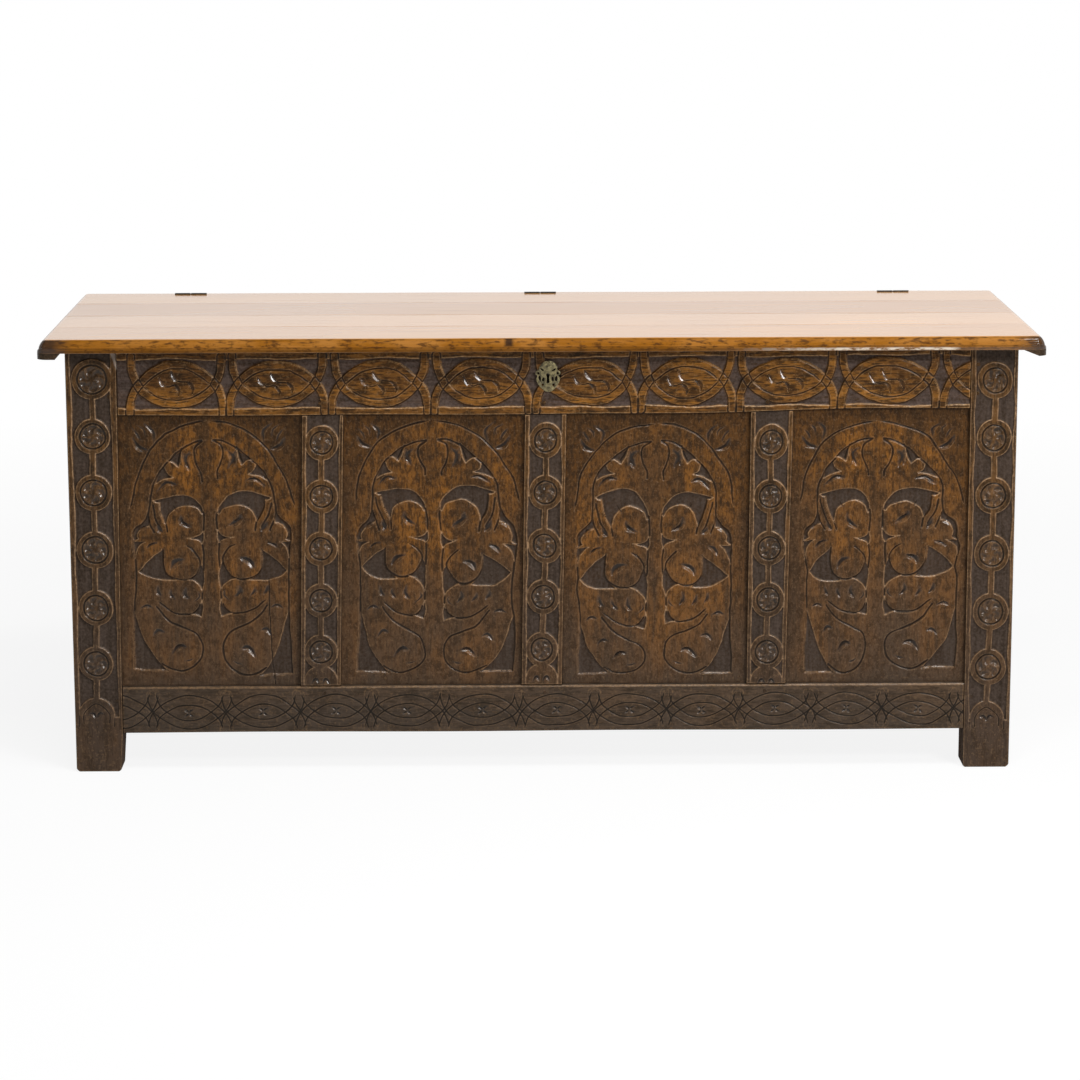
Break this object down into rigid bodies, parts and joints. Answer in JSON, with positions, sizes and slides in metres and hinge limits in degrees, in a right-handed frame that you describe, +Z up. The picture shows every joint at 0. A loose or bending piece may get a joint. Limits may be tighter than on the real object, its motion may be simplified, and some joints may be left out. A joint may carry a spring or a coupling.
{
  "type": "joined oak coffer chest",
  "caption": "Low rectangular storage chest with a carved framed and panelled front, a flat overhanging hinged lid, short stile feet and a lock behind a pierced keyhole plate.",
  "frame": {"origin": "centre of the bounding box at floor level, lid closed", "axes": "+Z up, +X along the length towards the right seen from the carved front, +Y towards the hinges"},
  "size_m": [1.58, 0.5958, 0.7062],
  "materials": {
    "oak_front": "waxed old oak, mid brown",
    "oak_panel": "waxed old oak, dark brown",
    "oak_lid": "polished old oak, golden brown",
    "oak_side": "waxed old oak, dark brown",
    "oak_back": "dry old oak, grey brown",
    "oak_floor": "dry old oak, grey brown",
    "oak_pegs": "dark old oak",
    "iron": "dark wrought iron",
    "brass": "dull aged brass"
  },
  "bodies": {
    "carcass": {"front_left_stile": "oak_front", "front_right_stile": "oak_front", "front_top_rail": "oak_front", "front_bottom_rail": "oak_front", "front_muntin_1": "oak_front", "front_muntin_2": "oak_front", "front_muntin_3": "oak_front", "front_panel_1": "oak_panel", "front_panel_2": "oak_panel", "front_panel_3": "oak_panel", "front_panel_4": "oak_panel", "rear_left_stile": "oak_back", "rear_right_stile": "oak_back", "rear_top_rail": "oak_back", "rear_bottom_rail": "oak_back", "rear_muntin_1": "oak_back", "rear_muntin_2": "oak_back", "rear_muntin_3": "oak_back", "rear_panel_1": "oak_back", "rear_panel_2": "oak_back", "rear_panel_3": "oak_back", "rear_panel_4": "oak_back", "left_top_rail": "oak_side", "left_bottom_rail": "oak_side", "left_muntin_1": "oak_side", "left_panel_1": "oak_side", "left_panel_2": "oak_side", "right_top_rail": "oak_side", "right_bottom_rail": "oak_side", "right_muntin_1": "oak_side", "right_panel_1": "oak_side", "right_panel_2": "oak_side", "frame_pegs": "oak_pegs", "floor_board_1": "oak_floor", "floor_board_2": "oak_floor", "floor_board_3": "oak_floor", "floor_board_4": "oak_floor", "floor_board_5": "oak_floor", "floor_board_6": "oak_floor", "floor_nails": "iron", "rail_hinge_loops": "iron", "lock_case": "iron", "lock_nails": "iron", "keyhole_plate": "brass", "keyhole_plate_pins": "brass"},
    "lid": {"lid_board_1": "oak_lid", "lid_board_2": "oak_lid", "lid_board_3": "oak_lid", "lid_board_4": "oak_lid", "left_cleat": "oak_lid", "right_cleat": "oak_lid", "cleat_nails": "iron", "lid_staple": "iron", "staple_nails": "iron", "lid_hinge_loops": "iron"},
    "bolt": {"lock_bolt": "iron"}
  },
  "joints": [
    {"name": "lid_hinge", "type": "hinge", "parent": "carcass", "child": "lid", "pos_m": [0, 0.29168, 0.683], "axis": [-1, 0, 0], "range_deg": [0, 100]},
    {"name": "bolt_slide", "type": "slide", "parent": "carcass", "child": "bolt", "axis": [1, 0, 0], "range_m": [0, 0.012]}
  ]
}
